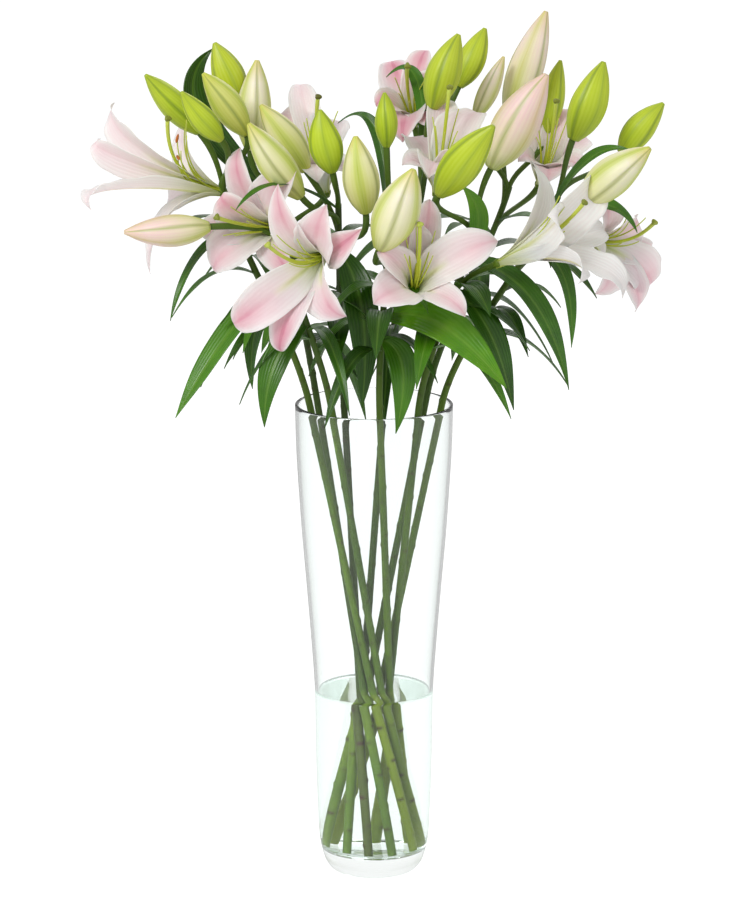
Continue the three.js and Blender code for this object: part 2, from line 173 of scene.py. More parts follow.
def veins(add, place, count, wander):
    """Lines that run the length of a blade: a sine of the distance across it, count to the full
    width, pushed sideways by noise with patches of 14 mm."""
    across = add("Attribute", out="Fac", attribute_name="across")
    wide = add("Math.MULTIPLY", [across, count * math.pi])
    drift = add("TexNoise", {"Vector": place, "Scale": per_metre(14), "Detail": 3.0})
    angle = add("Math.MULTIPLY_ADD", [drift, wander, wide])
    wave = add("Math.SINE", [angle])
    return add("Math.MULTIPLY_ADD", [wave, 0.5, 0.5])


# Strength as seen, and as it lights things. A ray that has passed through fewer surfaces than
# NEAR_WALL is still at the vase's near wall.
SURROUND_SEEN, SURROUND_LIGHT = 1.02, 0.57
FLOOR_SEEN, FLOOR_LIGHT = 0.84, 0.32
NEAR_WALL = 4.5


def direct(add, full, bounced):
    """A strength that is full when seen straight or through glass, and lower where it lights a matt
    surface or the vase's near wall mirrors it: a lit wall behind, a darker studio in front."""
    near, glossy, matt = (
        add(kind, [add("LightPath", out=depth), limit])
        for depth, limit, kind in (("Transmission Depth", NEAR_WALL, "Math.LESS_THAN"),
                                   ("Glossy Depth", 1.0, "Math.MINIMUM"),
                                   ("Diffuse Depth", 1.0, "Math.MINIMUM")))
    mirrored = add("Math.MULTIPLY", [glossy, near])
    dimmed = add("Math.MAXIMUM", [matt, mirrored])
    return add("Math.MULTIPLY_ADD", [dimmed, bounced - full, full])


def make_surround():
    """An even white surround that lights the flowers at about half the strength it is seen at."""
    world = bpy.data.worlds.new("white_surround")
    bpy.context.scene.world = world
    world.use_nodes = True
    world.node_tree.nodes.clear()
    add = partial(node, world.node_tree)
    strength = direct(add, SURROUND_SEEN, SURROUND_LIGHT)
    add("OutputWorld", {"Surface": add(
        "Background", {"Color": linear("#ffffff"), "Strength": strength})})


make_surround()
print("node helper ready")

# %% [markdown]
# **Petal.** A lily tepal is living tissue about half a millimetre thick: waxy, soft and a little
# see-through, so light glows through it. It is white at the margins, pink towards the midrib and
# green-yellow in the throat, all painted on its grid as attributes. Eleven veins cross a petal 33
# to 48 mm wide, 3 to 4 mm apart; real ones lie nearer 2 mm, too fine to show here.

# %% Petal finish
def petal_material():
    """Soft translucent tissue: light scattered below a satin wax, and shallow vein relief."""
    made, add, pink, throat, upper, rib = new_material(
        "lily_petal_tissue", "pink", "throat", "upper", "rib")
    place = add("TexCoord", out="Object")
    patch, cells = (
        add("TexNoise", {"Vector": place, "Scale": per_metre(width), "Detail": 3.0})
        for width in (18, 1.1))
    uneven = add("Math.MULTIPLY_ADD", [patch, 0.35, 0.825])
    blush = add("Math.MULTIPLY", [pink, uneven], use_clamp=True)
    body = add("ValToRGB", [blush], stops=[
        (0.0, "#fcf9f4"), (0.3, "#f5dbdd"), (0.6, "#eab5be"), (0.85, "#dc90a2"), (1.0, "#cc768c")])
    green = add("ValToRGB", [throat], stops=[(0.0, "#eff2d4"), (0.45, "#d8e274"), (1.0, "#b4c41e")])
    lines = veins(add, place, 11, 2.5)
    deep = add("Math.POWER", [throat, 0.8], use_clamp=True)
    behind = add("Math.SUBTRACT", [1.0, upper])
    midrib = add("Math.MULTIPLY", [behind, rib])
    colour = coats(add, body, (lines, 0.12, "#e3b6bd"), (deep, 1, green), (midrib, 1, "#cdbf6a"))
    relief = add("Bump", {"Height": lines, "Strength": 0.25, "Distance": 0.6 * MM})
    speck = add("Bump", {"Height": cells, "Strength": 0.2, "Distance": 0.4 * MM, "Normal": relief})
    skin = add("BsdfPrincipled", {
        "Base Color": colour, "Roughness": 0.5, "IOR": 1.42, "Subsurface Weight": 0.5,
        "Subsurface Radius": (1.0, 0.8, 0.75), "Subsurface Scale": 6 * MM,
        "Sheen Weight": 0.12, "Normal": speck})
    add("OutputMaterial", {"Surface": skin})
    return made


PETAL = petal_material()

# %% [markdown]
# **Bud.** A closed bud is three outer tepals meeting edge to edge. Young buds are lime with
# darker seams. As they ripen the flanks fade to cream and the ribs flush pink and orange. Each
# bud carries how ripe it is, and where its seams and ribs are.

# %% Bud finish
def bud_material():
    """Firm waxy skin, from lime to cream, with green seams and a blush on the ribs."""
    made, add, along, ripe, seam, rib, blush = new_material(
        "lily_bud_skin", "along", "ripe", "seam", "rib", "blush")
    place = add("TexCoord", out="Object")
    patch, cells = (
        add("TexNoise", {"Vector": place, "Scale": per_metre(width), "Detail": 3.0})
        for width in (6, 1.4))
    young = add("ValToRGB", [along], stops=[
        (0.0, "#7d9f1c"), (0.25, "#9cba18"), (0.7, "#b4c91c"), (1.0, "#869a18")])
    old = add("ValToRGB", [along], stops=[
        (0.0, "#b9c864"), (0.25, "#e9e9b4"), (0.75, "#f6efdc"), (1.0, "#d3c566")])
    off_seam = add("Math.SUBTRACT", [1.0, seam])
    rosy = add("Math.MULTIPLY", [blush, off_seam])
    turning = add("Math.MULTIPLY", [ripe, 2.2], use_clamp=True)
    late = add("Math.MULTIPLY_ADD", [ripe, 1.8, -0.5], use_clamp=True)
    unblushed = add("Math.MULTIPLY_ADD", [blush, -0.7, 0.75], use_clamp=True)
    broad_rib = add("Math.POWER", [rib, 0.11])
    shoulder = add("Math.MULTIPLY", [broad_rib, unblushed])
    edged = add("Math.MULTIPLY", [shoulder, turning])
    lines = veins(add, place, 9, 1.5)
    unripe = add("Math.MULTIPLY_ADD", [ripe, -0.16, 0.16])
    mottled = add("Math.MULTIPLY", [patch, unripe])
    colour = coats(
        add, young, (off_seam, 0.4, "#c3d62e"), (turning, 1, "#c9cb28"),
        (late, 1, coats(add, old, (rosy, 1, "#eec4c8"))), (edged, 1, "#bccd1c"),
        (seam, 0.85, coats(add, "#46700c", (ripe, 1, "#8a8c20"))),
        (rib, 0.55, coats(add, "#6c8f16", (ripe, 1, "#b9c81e"), (blush, 1, "#cf9a5e"))),
        (lines, 0.22, coats(add, "#cfe04a", (ripe, 1, "#f4efcf"))), (mottled, 1, "#a4b43a"))
    relief = add("Math.MULTIPLY_ADD", [seam, -1.5, cells])
    bump = add("Bump", {"Height": relief, "Strength": 0.3, "Distance": 0.5 * MM})
    skin = add("BsdfPrincipled", {
        "Base Color": colour, "Roughness": 0.42, "IOR": 1.45, "Subsurface Weight": 0.2,
        "Subsurface Radius": (0.8, 1.0, 0.3), "Subsurface Scale": 3 * MM, "Normal": bump})
    add("OutputMaterial", {"Surface": skin})
    return made


BUD = bud_material()

# %% [markdown]
# **Leaf.** Lily leaves are long, glossy straps with veins that run side by side from foot to tip.
# The upper face is deep green, the underside is duller and bluish. Nine veins cross a leaf about
# 28 mm wide, so they lie about 3 mm apart.

# %% Leaf finish
def leaf_material():
    """Glossy cuticle over parallel veins, with a dull blue-green underside."""
    made, add, tone, upper, rib = new_material(
        "lily_leaf_cuticle", "tone", "upper", "rib")
    place = add("TexCoord", out="Object")
    patch = add("TexNoise", {"Vector": place, "Scale": per_metre(25), "Detail": 3.0})
    shift = add("Math.MULTIPLY_ADD", [patch, 0.35, -0.17])
    shade = add("Math.ADD", [tone, shift], use_clamp=True)
    face = add("ValToRGB", [shade], stops=[
        (0.0, "#162e04"), (0.35, "#295605"), (0.7, "#4e8806"), (1.0, "#7cab0a")])
    lines = veins(add, place, 9, 1.2)
    under = coats(add, "#3c6420", (lines, 0.3, "#6f913e"))
    top = coats(add, face, (lines, 0.16, "#5e8f2e"), (rib, 0.4, "#779f3c"))
    colour = coats(add, under, (upper, 1, top))
    bump = add("Bump", {"Height": lines, "Strength": 0.35, "Distance": 0.6 * MM})
    skin = add("BsdfPrincipled", {
        "Base Color": colour, "Roughness": 0.3, "IOR": 1.45, "Subsurface Weight": 0.08,
        "Subsurface Radius": (0.6, 1.0, 0.2), "Subsurface Scale": 2 * MM, "Normal": bump})
    add("OutputMaterial", {"Surface": skin})
    return made


LEAF = leaf_material()

# %% [markdown]
# **Stalk.** The stalks are tough and fibrous, mid green above and paler and yellower under water,
# where the leaves were stripped off and left brown scars. Fibres are drawn 1.1 mm wide and about
# 18 mm long; real ones are half that width.

# %% Stalk finish
def stalk_material():
    """Fibrous green rind: long streaks, brown leaf scars, paler where it stands in water."""
    made, add, tone, scar = new_material(
        "lily_stalk_rind", "tone", "scar")
    place = add("TexCoord", out="Object")
    stretched = add("Mapping", {"Vector": place, "Scale": (1.0, 1.0, 0.06)})
    fibre = add("TexNoise", {"Vector": stretched, "Scale": per_metre(1.1), "Detail": 2.0})
    patch = add("TexNoise", {"Vector": place, "Scale": per_metre(33), "Detail": 3.0})
    shade = add("Math.MULTIPLY_ADD", [patch, 0.2, tone], use_clamp=True)
    rind = add("ValToRGB", [shade], stops=[
        (0.0, "#1b2312"), (0.4, "#2a4b08"), (0.75, "#51700a"), (1.0, "#7a8c0e")])
    colour = coats(add, rind, (fibre, 0.25, "#86a13a"), (scar, 1, "#3a200a"))
    bump = add("Bump", {"Height": fibre, "Strength": 0.35, "Distance": 0.5 * MM})
    skin = add("BsdfPrincipled",
               {"Base Color": colour, "Roughness": 0.5, "IOR": 1.45, "Normal": bump})
    add("OutputMaterial", {"Surface": skin})
    return made


STALK = stalk_material()

# %% [markdown]
# **Heart of the flower.** Style and filaments are lime, the stigma is an olive three-lobed knob,
# and the few pollen sacs that are left are rust orange. One attribute says which is which.

# %% Heart finish
def heart_material():
    """Moist lime tissue that turns to olive stigma or rusty pollen."""
    made, add, along, dark, pollen = new_material(
        "lily_style_and_stamen", "along", "stigma", "pollen")
    place = add("TexCoord", out="Object")
    grit, cells = (
        add("TexNoise", {"Vector": place, "Scale": per_metre(width), "Detail": 3.0})
        for width in (2, 0.7))
    shade = add("ValToRGB", [along], stops=[(0.0, "#c6d43e"), (0.6, "#bccb30"), (1.0, "#cbd85c")])
    olive = add("Math.MINIMUM", [dark, 1.0])
    brown = add("Math.SUBTRACT", [dark, 1.0], use_clamp=True)
    colour = coats(add, shade, (olive, 1, "#7f882c"), (brown, 1, "#3c2410"), (pollen, 1, "#c8641e"),
                   (grit, 0.25, "#8f9440"))
    bump = add("Bump", {"Height": cells, "Strength": 0.3, "Distance": 0.3 * MM})
    skin = add("BsdfPrincipled", {
        "Base Color": colour, "Roughness": 0.45, "IOR": 1.42, "Subsurface Weight": 0.1,
        "Subsurface Scale": 2 * MM, "Normal": bump})
    add("OutputMaterial", {"Surface": skin})
    return made


HEART = heart_material()

# %% [markdown]
# **Glass and water.** Soda-lime glass is almost colourless, with a breath of green where you look
# through its edge. Both let lamplight through, so they throw no dark shadow on the stalks. The
# glass has slow waves 70 mm long, and the water ripples of 25 mm.

# %% Glass and water finishes
# A ray deeper than this many bounces goes straight on through glass and water, so that it isn't
# lost as black.
DEEP = 7.5


def clear_material(name, tint, ior, wave, depth):
    """A clear body that bends light and lets lamps through; wave and depth, in millimetres, are
    the length and height of its surface's waviness."""
    made, add = new_material(name)
    place = add("TexCoord", out="Object")
    swell = add("TexNoise", {"Vector": place, "Scale": per_metre(wave), "Detail": 2.0})
    ripple = add("Bump", {"Height": swell, "Strength": 0.15, "Distance": depth * MM})
    body = add("BsdfPrincipled", {
        "Base Color": linear(tint), "Roughness": 0.0, "IOR": ior, "Transmission Weight": 1.0,
        "Normal": ripple})
    clear = add("BsdfTransparent", {"Color": linear(tint)})
    deep = add("Math.GREATER_THAN", [add("LightPath", out="Ray Depth"), DEEP])
    straight = add("Math.MAXIMUM", [add("LightPath", out="Is Shadow Ray"), deep])
    both = add("MixShader", [straight, body, clear])
    add("OutputMaterial", {"Surface": both})
    return made


GLASS = clear_material("soda_lime_glass", "#fbfefd", 1.5, 70, 0.3)
WATER = clear_material("still_water", "#f9fdfb", 1.33, 25, 0.2)
# %% [markdown]
# ## Surfaces from grids
# A petal or leaf is a thin closed shell: an upper grid, a lower one half a millimetre below, and a
# strip that joins their edges. A stalk is a tube: a ring carried along a path, closed at both
# ends. One mesh can hold several, each point keeping its own attributes.

# %% Shells, tubes and meshes
def unit(vectors):
    """Vectors at length one, along the last axis."""
    return vectors / np.maximum(np.linalg.norm(vectors, axis=-1, keepdims=True), 1e-9)


def bezier(points, t):
    """A Bezier curve: the weighted mean of its control points at each t."""
    order = len(points) - 1
    weights = [math.comb(order, i) * (1 - t) ** (order - i) * t ** i for i in range(order + 1)]
    return sum(w[:, None] * np.asarray(p, float) for w, p in zip(weights, points))


def clamp(values):
    """Values held between 0 and 1."""
    return np.clip(values, 0, 1)


def bell(distance, width):
    """A smooth bump: 1 at no distance, and about a third at one width."""
    return np.exp(-(distance / width) ** 2)


def slopes(path):
    """Unit tangents of a path."""
    return unit(np.gradient(path, axis=0))


def quads(rows, columns, wrap):
    """Corner numbers of the faces of a grid; wrap joins the last column to the first."""
    i, j = np.meshgrid(np.arange(rows - 1), np.arange(columns - (not wrap)), indexing="ij")
    here, right = i * columns + j, i * columns + (j + 1) % columns
    return np.stack([here, right, right + columns, here + columns], -1).reshape(-1, 4)


def capped(steps, sides):
    """Faces of a ring carried through steps, closed by one point before and one after its own."""
    around = np.arange(sides)
    after = (around + 1) % sides
    start, last = steps * sides, (steps - 1) * sides
    return [quads(steps, sides, True), np.stack([after, around, np.full(sides, start)], -1),
            np.stack([last + around, last + after, np.full(sides, start + 1)], -1)]


def shell(middle, side, up, across, lift, thickness, marks):
    """A thin closed sheet: middle line + side * across + up * lift, and the same set back by its
    thickness along the sheet's own normals. across and lift are rows by columns, in metres."""
    rows, columns = across.shape
    top = middle[:, None] + side[:, None] * across[..., None] + up[:, None] * lift[..., None]
    normal = unit(np.cross(np.gradient(top, axis=1), np.gradient(top, axis=0)))
    normal *= np.sign(np.sum(normal * up[:, None], -1, keepdims=True).mean())
    low = top - normal * thickness[..., None]
    flat = quads(rows, columns, False)
    turn = np.sign(np.sum(np.cross(top[1, 1] - top[1, 0], top[2, 0] - top[1, 0]) * normal[1, 0]))
    upper = flat if turn > 0 else flat[:, ::-1]
    count = rows * columns
    edge = np.concatenate([np.arange(columns), np.arange(1, rows) * columns + columns - 1,
                           (rows - 1) * columns + np.arange(columns - 2, -1, -1),
                           np.arange(rows - 2, 0, -1) * columns])
    after = np.roll(edge, -1)
    rim = np.stack([edge, edge + count, after + count, after], -1)
    rim = rim if turn > 0 else rim[:, ::-1]
    faces = np.concatenate([upper, upper[:, ::-1] + count, rim])
    values = {key: np.concatenate([value.ravel(), value.ravel()]) for key, value in marks.items()}
    values["upper"] = np.concatenate([np.ones(count), np.zeros(count)])
    return np.concatenate([top.reshape(-1, 3), low.reshape(-1, 3)]), [faces], values


def tube(path, radius, sides, marks, shape=1.0):
    """A round tube: at each step of the path a ring of that radius, closed by a point at each end.
    shape multiplies the radius, steps by sides."""
    steps = len(path)
    tangent = slopes(path)
    helper = np.eye(3)[0 if abs(unit(path[-1] - path[0])[2]) > 0.7 else 2]
    first = unit(helper - (tangent @ helper)[:, None] * tangent)
    second = np.cross(tangent, first)
    angle = np.linspace(0, 2 * np.pi, sides, endpoint=False)
    ring = (first[:, None] * np.cos(angle)[None, :, None]
            + second[:, None] * np.sin(angle)[None, :, None])
    points = path[:, None] + ring * (radius[:, None] * shape)[..., None]
    values = {}
    for key, value in marks.items():
        wide = np.broadcast_to(np.asarray(value, float).reshape(steps, -1), (steps, sides))
        values[key] = np.concatenate([wide.ravel(), [wide[0].mean(), wide[-1].mean()]])
    points = np.concatenate([points.reshape(-1, 3), path[:1], path[-1:]])
    return points, capped(steps, sides), values


def make_piece(name, patches, material, replaces=()):
    """Joins patches into one smooth mesh, its place held in its points, for the frame to carry."""
    points, faces, offset = [], [], 0
    keys = sorted({key for patch in patches for key in patch[2]})
    values = {key: [] for key in keys}
    for places, groups, marks in patches:
        for group in groups:
            faces += (group + offset).tolist()
        points.append(places)
        for key in keys:
            values[key].append(marks.get(key, np.zeros(len(places))))
        offset += len(places)
    mesh = bpy.data.meshes.new(name)
    mesh.from_pydata(np.concatenate(points).tolist(), [], faces)
    for key in keys:
        layer = mesh.attributes.new(key, "FLOAT", "POINT")
        layer.data.foreach_set("value", np.concatenate(values[key]).astype(np.float32))
    mesh.polygons.foreach_set("use_smooth", np.ones(len(mesh.polygons), bool))
    mesh.materials.append(material)
    mesh.update()
    piece = bpy.data.objects.new(name, mesh)
    bpy.context.scene.collection.objects.link(piece)
    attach(piece, "root")
    if replaces:
        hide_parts(*replaces)
    return piece


def compare(name, piece):
    """How far, in millimetres, a piece's box lies from its solid's box."""
    solid = np.array([list(corner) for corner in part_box(name)])
    points = np.empty(len(piece.data.vertices) * 3)
    piece.data.vertices.foreach_get("co", points)
    points = points.reshape(-1, 3)
    return float(np.abs(np.array([points.min(0), points.max(0)]) - solid).max() / MM)


print("surface helpers ready")

# %% [markdown]
# ## The vase
# The vase is one turned piece of glass: a thick flat foot, a lower body that is nearly straight,
# and a mouth that flares. Its wall runs up the outside, over a rounded rim and down the inside.

# %% Vase
VASE_WALL = 3.2
VASE_HEIGHT = 483.0
VASE_FLOOR = 21.0
WATER_LEVEL = 188.0
# Height and radius up the inside of the wall.
INNER_WALL = np.array([
    [21, 43], [25, 48], [32, 50.5], [50, 53], [80, 54.6], [130, 55.9], [188, 56.8],
    [240, 60.2], [300, 65], [350, 69.2], [400, 72.6], [440, 74.8], [483, 75.8]])


def smooth_line(points, count):
    """A line through points, each stretch a cubic whose ends lean the way of their neighbours."""
    points = np.asarray(points, float)
    padded = np.concatenate([2 * points[:1] - points[1:2], points, 2 * points[-1:] - points[-2:-1]])
    t = np.linspace(0, len(points) - 1, count)
    i = np.minimum(t.astype(int), len(points) - 2)
    f = (t - i)[:, None]
    a, b, c, d = (padded[i + k] for k in range(4))
    return 0.5 * (2 * b + (c - a) * f + (2 * a - 5 * b + 4 * c - d) * f ** 2
                  + (3 * b - a - 3 * c + d) * f ** 3)


def turned(profile, sides):
    """A turned body: the profile (radius, height), in millimetres, carried round the axis. Its ends
    are on the axis, and the way round makes the faces point outwards."""
    angle = np.linspace(0, 2 * np.pi, sides, endpoint=False)
    radius, height = profile[1:-1, 0:1] * MM, profile[1:-1, 1:2] * MM
    rows = len(radius)
    points = np.stack([radius * np.cos(angle), radius * np.sin(angle),
                       np.broadcast_to(height, (rows, sides))], -1)
    poles = np.array([[0, 0, profile[0, 1] * MM], [0, 0, profile[-1, 1] * MM]])
    return np.concatenate([points.reshape(-1, 3), poles]), capped(rows, sides), {}


def vase_profile():
    """Outside from the foot up, round the rim, and the inside down to the floor."""
    inner = smooth_line(INNER_WALL[:, ::-1], 90)
    outer = inner[inner[:, 1] > 58] + [VASE_WALL, 0]
    foot = smooth_line(
        [[41, 0], [43.5, 0.7], [46.5, 4], [50, 10], [53, 20], [55.2, 32], [56.6, 46]], 30)
    angle = np.linspace(0, np.pi, 9)[:, None]
    lip = VASE_WALL / 2
    mouth = INNER_WALL[-1, 1]
    rim = np.hstack([mouth + lip + lip * np.cos(angle), VASE_HEIGHT - lip + lip * np.sin(angle)])
    below = outer[outer[:, 1] < VASE_HEIGHT - 2]
    inside = inner[(inner[:, 1] < VASE_HEIGHT - 2) & (inner[:, 1] > 22)][::-1]
    floor = [[46.0, 22.4], [43, VASE_FLOOR], [30, VASE_FLOOR], [12, VASE_FLOOR], [0, VASE_FLOOR]]
    return np.vstack([[[0, 0], [20, 0], [38, 0]], foot, below, rim, inside, floor])


vase = make_piece("glass_vase", [turned(vase_profile(), 128)], GLASS, ["vase"])
print("vase is off its solid by", round(compare("vase", vase), 2), "mm")

# %% [markdown]
# The water fills the lower third. Where it meets the glass it climbs a millimetre or two, which
# is the bright rim seen at its surface. It is made a hair wider than the hollow, so no film of
# air is left between water and glass.

# %% Water
def water_profile():
    """Up the wall from the floor, over the climbing edge, and in to the middle of the surface."""
    inner = smooth_line(INNER_WALL[:, ::-1], 90)
    wall = inner[(inner[:, 1] > 22) & (inner[:, 1] < WATER_LEVEL - 1)] + [0.12, 0]
    edge = np.interp(WATER_LEVEL, INNER_WALL[:, 0], INNER_WALL[:, 1])
    inward = np.linspace(0, 1, 12)[:, None] * 9
    surface = WATER_LEVEL - 1.6
    bottom = 20.9
    climb = np.hstack([edge + 0.1 - inward, surface + 1.9 * np.exp(-inward / 2.2)])
    return np.vstack([[[0, bottom], [12, bottom], [42.8, bottom]], wall, climb,
                      [[30, surface], [12, surface], [0, surface]]])


water = make_piece("vase_water", [turned(water_profile(), 96)], WATER, ["water"])
print("water is off its solid by", round(compare("water", water), 2), "mm")

# %% [markdown]
# ## The stalks
# Each stalk runs straight from its place on the vase's floor to its place at the rim, on the
# other side of the bundle, and then leans over to its top. The rows repeat the solids' own
# places, in millimetres: angle and reach at the rim and at the foot, and the top. The last number
# is how light its green is.

# %% Stalks
FOOT_HEIGHT = 22.6
SCAR_SPACING = 17.0
FOOT_RADIUS = 4.1
TOP_RADIUS = 3.1
STEMS = {
    "stem_1": ((196, 66), (337, 37), (-150, -35, 705), 0.52),
    "stem_2": ((230, 64), (12, 36), (-85, -60, 650), 0.40),
    "stem_3": ((156, 63), (297, 37), (-92, 10, 690), 0.22),
    "stem_4": ((120, 62), (262, 35), (-35, -40, 690), 0.12),
    "stem_5": ((275, 64), (55, 38), (14, -50, 668), 0.48),
    "stem_6": ((80, 64), (224, 33), (50, 30, 706), 0.30),
    "stem_7": ((312, 65), (90, 37), (98, -45, 668), 0.42),
    "stem_8": ((352, 68), (137, 36), (182, 8, 690), 0.55),
    "stem_9": ((35, 65), (175, 38), (136, 72, 690), 0.35),
}


def stem_path(name, count=420):
    """Foot to rim on a straight line, then a cubic bend over to the top."""
    rim_place, foot_place, top = STEMS[name][:3]
    foot, rim = (np.array([reach * math.cos(math.radians(angle)),
                           reach * math.sin(math.radians(angle)), height])
                 for (angle, reach), height in (
                     (foot_place, FOOT_HEIGHT), (rim_place, VASE_HEIGHT)))
    top = np.array(top, float)
    knee = rim + unit(rim - foot) * 70
    shoulder = top + [(rim[0] - top[0]) * 0.25, (rim[1] - top[1]) * 0.25, -70]
    straight = foot + (rim - foot) * np.linspace(0, 1, count * 2 // 3, endpoint=False)[:, None]
    bent = bezier([rim, knee, shoulder, top], np.linspace(0, 1, count - len(straight)))
    return np.concatenate([straight, bent])


STEM_PATHS = {name: stem_path(name) for name in STEMS}


def stem_at(name, height):
    """The point and lean of a stalk at a height, in millimetres."""
    path = STEM_PATHS[name]
    lean = slopes(path)
    return (np.array([np.interp(height, path[:, 2], path[:, k]) for k in range(3)]),
            unit(np.array([np.interp(height, path[:, 2], lean[:, k]) for k in range(3)])))


def make_stem(name, seed):
    """A tube 8 mm thick at the foot and 6 mm at the top. Leaf scars sit in a spiral every 17 mm:
    each is a low bump, and a brown crescent below it. One stalk has gone brown under the water."""
    rng = np.random.default_rng(seed)
    path = STEM_PATHS[name]
    steps, sides = len(path), 20
    run = np.concatenate([[0], np.cumsum(np.linalg.norm(np.diff(path, axis=0), axis=1))])
    angle = np.linspace(0, 2 * np.pi, sides, endpoint=False)
    bump = np.zeros((steps, sides))
    scar = np.zeros((steps, sides))
    wet = clamp((WATER_LEVEL + 4 - path[:, 2]) / 8)
    for i, place in enumerate(np.arange(14 + rng.uniform(0, 10), run[-1] - 10, SCAR_SPACING)):
        turn = (i * 2.4 + seed) % (2 * np.pi)
        away = np.abs((angle - turn + np.pi) % (2 * np.pi) - np.pi)
        round_it = bell(away, 0.75)
        place += rng.uniform(-5, 5)
        bump += bell(run - place, 2.4)[:, None] * round_it * 0.18
        mark = bell(run - place + 1.0, 1.7)[:, None] * np.exp(-(away / 0.85) ** 4)
        scar += mark * rng.uniform(0.25, 1.0) * (0.7 + 0.5 * wet[:, None])
    shape = 1 + bump + 0.02 * np.cos(3 * angle + run[:, None] / 60)
    radius = FOOT_RADIUS + (TOP_RADIUS - FOOT_RADIUS) * run / run[-1]
    radius *= 1 + 0.02 * np.sin(run / 23 + seed)
    tone = STEMS[name][3] + wet * 0.4 + 0.08 * np.sin(run / 37 + 2 * seed)
    if name == "stem_4":
        scar += 0.45 * wet[:, None]
    marks = {"tone": tone[:, None], "scar": clamp(scar)}
    patch = tube(path * MM, radius * MM, sides, marks, shape)
    return make_piece(name + "_stalk", [patch], STALK, [name])


for number, stem in enumerate(STEMS):
    print(stem, "is off its solid by", round(compare(stem, make_stem(stem, number)), 1), "mm")


def flower_stalk(source, base, direction, tone):
    """A thin stalk that leaves the main one along its lean and swings round to a flower's base."""
    start, lean = stem_at(*source)
    reach = np.linalg.norm(base - start)
    t = np.linspace(0, 1, 28)
    line = bezier([start, start + lean * reach * 0.35,
                   base - direction * reach * 0.4, base + direction * 3], t)
    radius = np.linspace(2.3, 3.2, 28) * (1 + 0.06 * np.sin(np.linspace(0, 9, 28)))
    return tube(line * MM, radius * MM, 12, {"tone": np.full(28, tone), "scar": np.zeros(28)})


# %% [markdown]
# ## The buds
# A bud swells quickly from its stalk, is widest before its middle and draws out to a blunt point.
# Its section has three lobes. Each row gives the stalk it grows from and at what height, its base
# and tip, its width, how ripe it is and how much it blushes.

# %% Buds
BUDS = {
    "bud_1": (("stem_1", 672), (-170, -40, 760), (-220, -70, 820), 27, 0.0, 0.0),
    "bud_2": (("stem_1", 690), (-147, -78, 758), (-184, -104, 808), 24, 0.05, 0.0),
    "bud_3": (("stem_1", 702), (-124, -40, 758), (-165, -58, 820), 30, 0.42, 0.05),
    "bud_4": (("stem_3", 686), (-134, 28, 778), (-157, 24, 840), 32, 0.15, 0.0),
    "bud_5": (("stem_3", 672), (-122, 8, 735), (-115, 16, 824), 34, 0.82, 0.1),
    "bud_6": (("stem_4", 650), (-66, -38, 722), (-110, -48, 788), 32, 0.6, 0.1),
    "bud_7": (("stem_4", 665), (-70, -88, 704), (-120, -108, 778), 33, 0.66, 0.0),
    "bud_8": (("stem_4", 682), (-40, -88, 728), (-52, -98, 790), 32, 0.0, 0.0),
    "bud_9": (("stem_5", 664), (12, -45, 746), (10, -45, 800), 22, 0.0, 0.0),
    "bud_10": (("stem_4", 636), (-8, -98, 690), (-18, -108, 766), 35, 0.62, 0.0),
    "bud_11": (("stem_5", 620), (5, -138, 662), (37, -162, 742), 43, 0.8, 0.05),
    "bud_12": (("stem_7", 655), (62, -98, 708), (113, -138, 780), 37, 0.05, 0.0),
    "bud_13": (("stem_6", 704), (57, 12, 776), (83, 12, 850), 34, 0.1, 0.0),
    "bud_14": (("stem_6", 700), (84, 72, 790), (111, 82, 848), 28, 0.1, 0.0),
    "bud_15": (("stem_9", 680), (100, 60, 760), (129, 62, 822), 20, 0.85, 0.35),
    "bud_16": (("stem_9", 664), (134, 88, 758), (172, 90, 864), 35, 0.9, 0.45),
    "bud_17": (("stem_7", 664), (114, -42, 726), (166, -66, 820), 44, 1.0, 0.8),
    "bud_18": (("stem_9", 688), (174, 108, 738), (188, 114, 812), 25, 0.1, 0.0),
    "bud_19": (("stem_8", 680), (196, 20, 744), (226, 20, 822), 36, 0.05, 0.0),
    "bud_20": (("stem_8", 687), (246, 52, 726), (287, 42, 778), 29, 0.05, 0.0),
    "bud_21": (("stem_8", 655), (202, -50, 692), (266, -76, 750), 38, 0.78, 0.0),
    "bud_22": (("stem_2", 640), (-158, -92, 676), (-240, -112, 674), 31, 0.85, 0.75),
}


BUD_OUTLINE = [0.3, 0.74, 0.97, 1.0, 0.84, 0.55, 0.13]


def bud_width(t):
    """Share of the greatest width: a smooth line through seven evenly spaced widths."""
    line = smooth_line([[i / 6, share] for i, share in enumerate(BUD_OUTLINE)], 200)
    return np.interp(t, line[:, 0], line[:, 1])


